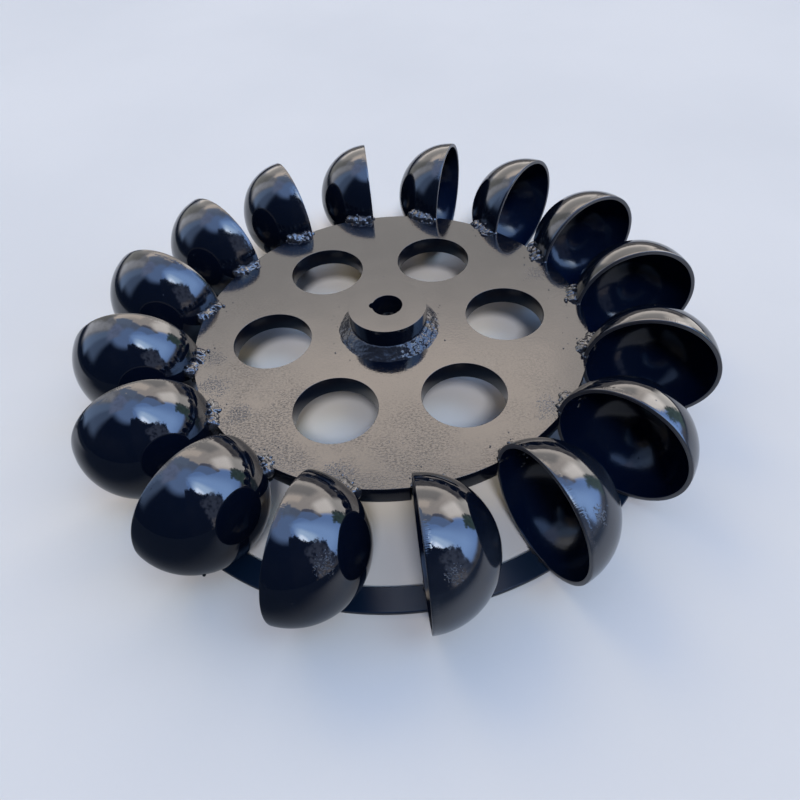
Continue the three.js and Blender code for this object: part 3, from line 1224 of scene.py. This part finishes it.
@dataclass
class BowlRow:
    """The sixteen bowls with their welds."""

    sizes: WheelSizes
    weld: Material
    fat_from: tuple[tuple[int, float], ...] = ((9, 4 * MM), (10, 9 * MM), (11, 9 * MM), (12, 16 * MM))
    climbing: tuple[int, ...] = (3, 4, 5)
    climb: float = 1.5 * MM
    drip_bowl: int = 10
    drip_place: Triple = (22.7 * MM, 25.1 * MM, -19.1 * MM)
    drip_size: Triple = (1.0 * MM, 1.0 * MM, 1.2 * MM)
    rough_patches: tuple[tuple[int, Triple, float], ...] = (
        (13, (25.8 * MM, 10.5 * MM, 27.0 * MM), 7 * MM),
        (12, (26.7 * MM, 11.9 * MM, 25.4 * MM), 7 * MM),
        (11, (16.8 * MM, 25.8 * MM, 23.7 * MM), 9 * MM),
    )
    outside: Enamel = BowlEnamel("bowl_outside")
    # Painted light: the inside's base is lighter and bluer than the outside's, to lift the shade in each
    # bowl's hollow.
    inside: Enamel = Enamel(
        "bowl_inside_painted_light",
        base=(0.0005, 0.0019, 0.0072),
        refraction=1.35,
        gloss=0.13,
        dull=0.26,
        dull_share=1.0,
        peel_depth=0.03 * MM,
        speck_depth=0.16 * MM,
    )
    rim: Enamel = Enamel(
        "bowl_rim",
        base=(0.011, 0.011, 0.014),
        gloss=0.34,
        dull=0.5,
        peel_size=0.8 * MM,
        peel_depth=0.06 * MM,
    )

    def build(self) -> None:
        """Makes every bowl and its weld."""
        spots = tuple(
            RoughSpot(tuple(self._on_bowl(index, place)), radius)
            for index, place, radius in self.rough_patches
        )
        outside = replace(self.outside, rough_spots=spots)
        materials = [outside.build(), self.inside.build(), self.rim.build()]
        starts = dict(self.fat_from)
        for index in range(self.sizes.bowl_count):
            BowlShell(self.sizes, index, materials).build()
            climb = self.climb if index in self.climbing else 0.0
            start = starts.get(index, BowlWeld.fat_from)
            BowlWeld(self.sizes, index, self.weld, start, climb).build()
        self._drip(materials[Wall.OUTSIDE.value])

    def _drip(self, material: Material) -> None:
        """Hangs one dried drip of enamel low on a bowl's back."""
        shape = bmesh.new()
        place = Matrix.Translation(self._on_bowl(self.drip_bowl, self.drip_place))
        size = Matrix.Diagonal((*self.drip_size, 1))
        bmesh.ops.create_uvsphere(shape, u_segments=12, v_segments=8, radius=1.0, matrix=place @ size)
        shade_smooth(shape)
        finish_piece(shape, "enamel_drip", [material])

    def _on_bowl(self, index: int, offset: Triple) -> Vector:
        """A place at an offset from a bowl's centre, as (away from the axis, behind the mouth, up)."""
        centre = Vector((self.sizes.bowl_circle_radius, 0, self.sizes.bowl_centre_height))
        return self.sizes.station(index) @ (centre + Vector(offset))


@dataclass(frozen=True)
class SoftLight:
    """A soft patch on the studio's walls or ceiling, in degrees, where azimuth 0 is +Y and 90 is +X."""

    azimuth: float
    elevation: float
    half_width: float
    half_height: float
    edge: float
    colour: Triple
    mottle: float = 0.0
    ragged: float = 0.2
    tilt: float = 0.0

    def mask(self, azimuth: Value, elevation: Value, rough_side: Value, rough_height: Value) -> Value:
        """How much of the patch a direction gets, from 0 to 1, with how far its edges stray."""
        up = elevation + rough_height * self.ragged - self.elevation
        if self.half_width >= 180:
            return up.window(self.half_height, self.edge)
        side = azimuth + rough_side * self.ragged - self.azimuth
        cosine, sine = math.cos(math.radians(self.tilt)), math.sin(math.radians(self.tilt))
        across = (up * cosine - side * sine).window(self.half_height, self.edge)
        return across * (side * cosine + up * sine).window(self.half_width, self.edge)


@dataclass(frozen=True)
class SoftSun:
    """A broad soft lamp that lights the floor and shows in no reflection."""

    azimuth: float
    elevation: float
    breadth: float
    colour: Triple

    def build(self, name: str) -> None:
        """Hangs the lamp, with its strength in the brightest part of its colour."""
        data = bpy.data.lights.new(name, "SUN")
        data.energy = max(self.colour)
        data.color = tuple(part / data.energy for part in self.colour)
        data.angle = math.radians(self.breadth)
        lamp = add_object(name, data)
        turn = Matrix.Rotation(math.radians(-self.azimuth), 4, "Z")
        lamp.matrix_world = turn @ Matrix.Rotation(math.radians(self.elevation - 90), 4, "X")
        lamp.visible_glossy = False


@dataclass
class Studio:
    """The floor, the soft light all round, and the camera. Each patch lies over the ones before it."""

    floor_half: float = 6.0
    backdrop: Triple = (0.66, 0.70, 0.79)
    gloom: Triple = (0.02, 0.03, 0.06)
    shade_share: float = 0.15
    side_stray: float = 19.0
    height_stray: float = 20.0
    suns: tuple[SoftSun, ...] = (
        SoftSun(178, 52, 11, (3.45, 3.55, 3.95)),
        SoftSun(-35, 45, 26, (1.15, 0.9, 0.35)),
        SoftSun(135, 65, 26, (0.3, 0.6, 0.9)),
    )
    left_haze: tuple[SoftLight, ...] = (
        SoftLight(70, 2, 80, 9, 6, (0.45, 0.42, 0.40), 0.4, 0.8),
        SoftLight(-86, 44, 12, 17, 16, (0.55, 0.80, 1.35), ragged=0.1),
        SoftLight(-70, 40, 8, 24, 10, (0.90, 1.30, 2.1), ragged=0.1),
        SoftLight(-40, 38, 20, 24, 12, (1.40, 1.45, 1.60), 0.2, 0.1),
        SoftLight(-54, 40, 4, 26, 8, (2.05, 2.1, 2.3), 0.2, 0.1),
        SoftLight(-37, 22, 5, 14, 8, (1.0, 1.0, 0.95), 0.2, 0.1),
    )
    sky: tuple[SoftLight, ...] = (
        SoftLight(0, 90, 180, 18, 14, (1.05, 1.65, 3.1), ragged=0.1),
        SoftLight(-58, 68, 34, 5, 10, (1.20, 1.50, 2.40), 0.2, 0.1),
        SoftLight(22, 66, 50, 6, 9, (0.95, 1.20, 1.75), ragged=0.1),
        SoftLight(111, 46, 48, 34, 7, (1.25, 2.15, 4.4), ragged=0.15),
        SoftLight(110, 48, 10, 20, 26, (2.2, 3.6, 6.6), ragged=0.1),
        SoftLight(127, 58, 8, 8, 14, (4.2, 5.8, 8.4), ragged=0.1),
        SoftLight(135, 59, 3, 3, 8, (8.5, 10.0, 12.5)),
    )
    trees: tuple[SoftLight, ...] = (
        SoftLight(146.7, 35.7, 28, 22, 3, (0.03, 0.04, 0.07), ragged=1.1, tilt=42),
        SoftLight(166, 36, 16, 34, 4, (0.03, 0.04, 0.07), ragged=1.1),
        SoftLight(132, 24, 14, 19, 5, (0.36, 0.42, 0.60), 0.8, 1.0),
        SoftLight(137, 6, 8, 5, 4, (0.90, 0.85, 0.90), 0.5, 0.8),
    )
    wall: tuple[SoftLight, ...] = (
        SoftLight(20, 36, 44, 22, 3, (3.35, 3.05, 2.8), 0.12),
        SoftLight(26, 57, 18, 5.5, 3, (3.25, 2.95, 2.75)),
        SoftLight(0, 30, 26, 5, 9, (1.85, 1.75, 1.65)),
        SoftLight(-5, 49, 24, 2.5, 6, (4.7, 4.1, 3.6)),
        SoftLight(61.4, 60, 16, 9, 3, (1.0, 1.55, 2.9), tilt=-33),
        SoftLight(-13, 62.3, 20, 5, 3, (1.05, 1.35, 1.95), tilt=20),
        SoftLight(56, 53, 17, 1.4, 2.5, (0.80, 0.85, 1.1), tilt=-33),
        SoftLight(55, 11, 6, 14, 8, (3.0, 2.85, 2.7)),
        SoftLight(54, 34, 5, 7, 12, (6.3, 5.9, 5.6), ragged=0.1),
        SoftLight(71, 12, 6, 12, 4, (0.32, 0.50, 0.42), 0.5, 1.0),
    )

    def build(self) -> None:
        """Makes the floor, the light and the camera."""
        shape = bmesh.new()
        bmesh.ops.create_grid(shape, x_segments=1, y_segments=1, size=self.floor_half)
        floor = make_object(shape, "floor", [PaleFloor().build()])
        self._light()
        for number, sun in enumerate(self.suns, 1):
            sun.build(f"soft_sun_{number}")
        PhotoCamera().build()
        view = bpy.context.scene.view_settings
        view.view_transform = "Standard"
        view.look = "None"

    def _light(self) -> None:
        """Lights the scene from all round, before a plain backdrop, and a little less for matte surfaces."""
        world = bpy.data.worlds.new("studio")
        bpy.context.scene.world = world
        graph = Graph(world, "Generated")
        shade = graph.ray("Is Diffuse Ray") * self.shade_share
        colour = graph.mix(shade, self._patches(graph), rgba((0.0, 0.0, 0.0)))
        colour = graph.mix(graph.ray("Is Camera Ray"), colour, rgba(self.backdrop))
        background = graph.value("ShaderNodeBackground", {}, {"Color": colour, "Strength": 1.0})
        graph.add("ShaderNodeOutputWorld", {}, {"Surface": background})

    def _patches(self, graph: Graph) -> Value:
        """The light's colour: the soft patches one over the other, with ragged edges."""
        along_x, along_y, along_z = graph.parts()
        azimuth = along_x.arctangent(along_y) * math.degrees(1)
        elevation = along_z.unary("ARCSINE") * math.degrees(1)
        aside = graph.vector("ADD", (3.0, 0.0, 0.0))
        upright = graph.vector("MULTIPLY", (1.0, 1.0, 0.3))
        rough_height = (graph.noise(0.045, 5.0, 0.7, upright) - 0.5) * self.height_stray
        rough_side = (graph.noise(0.10, 6.0, 0.7, aside) - 0.5) * self.side_stray
        blotches = graph.pattern(Pattern(0.10, 0.45, 0.65, 4.0, 0.6), aside)
        colour = rgba(self.gloom)
        for light in self.left_haze + self.sky + self.trees + self.wall:
            lit = rgba(light.colour)
            if light.mottle:
                lit = graph.mix(blotches, lit, rgba(part * (1 - light.mottle) for part in light.colour))
            colour = graph.mix(light.mask(azimuth, elevation, rough_side, rough_height), colour, lit)
        return colour


@dataclass(frozen=True)
class PhotoCamera:
    """The camera at the photo's viewing angle."""

    place: Triple = (-10.3 * MM, -319.7 * MM, 333.9 * MM)
    heading: float = math.radians(2.33)
    pitch: float = math.radians(-48.42)
    roll: float = math.radians(-5.16)
    focal_length: float = 29.98
    sensor_width: float = 36.0

    def build(self) -> None:
        """Makes the camera and gives it to the scene."""
        data = bpy.data.cameras.new("photo_camera")
        data.lens = self.focal_length
        data.sensor_width = self.sensor_width
        data.sensor_fit = "HORIZONTAL"
        data.clip_start = 0.01
        camera = add_object("photo_camera", data)
        turn = Matrix.Rotation(-self.heading, 4, "Z")
        tip = Matrix.Rotation(math.pi / 2 + self.pitch, 4, "X")
        roll = Matrix.Rotation(self.roll, 4, "Z")
        camera.matrix_world = Matrix.Translation(self.place) @ turn @ tip @ roll
        bpy.context.scene.camera = camera


def main() -> None:
    """Builds the wheel's pieces in order."""
    logging.basicConfig(level=logging.INFO, format="%(name)s %(message)s")
    sizes = WheelSizes.from_frame()
    Studio().build()
    finish = WeldEnamel(
        "weld_enamel", base=(0.006, 0.0065, 0.0085), refraction=1.7, gloss=0.14, dull=0.34, dust_share=0.5
    )
    weld = finish.build()
    hub_finish = replace(finish, name="hub_weld_enamel", refraction=1.48, gloss=0.20, lump_size=2.6 * MM)
    DiscPlate(sizes).build()
    Hub(sizes).build()
    HubWeld(sizes, hub_finish.build()).build()
    LowerRing(sizes).build()
    BowlRow(sizes, weld).build()
    RingTacks(sizes, weld).build()
    Spatter(sizes, weld).build()


if __name__ == "__main__":
    main()
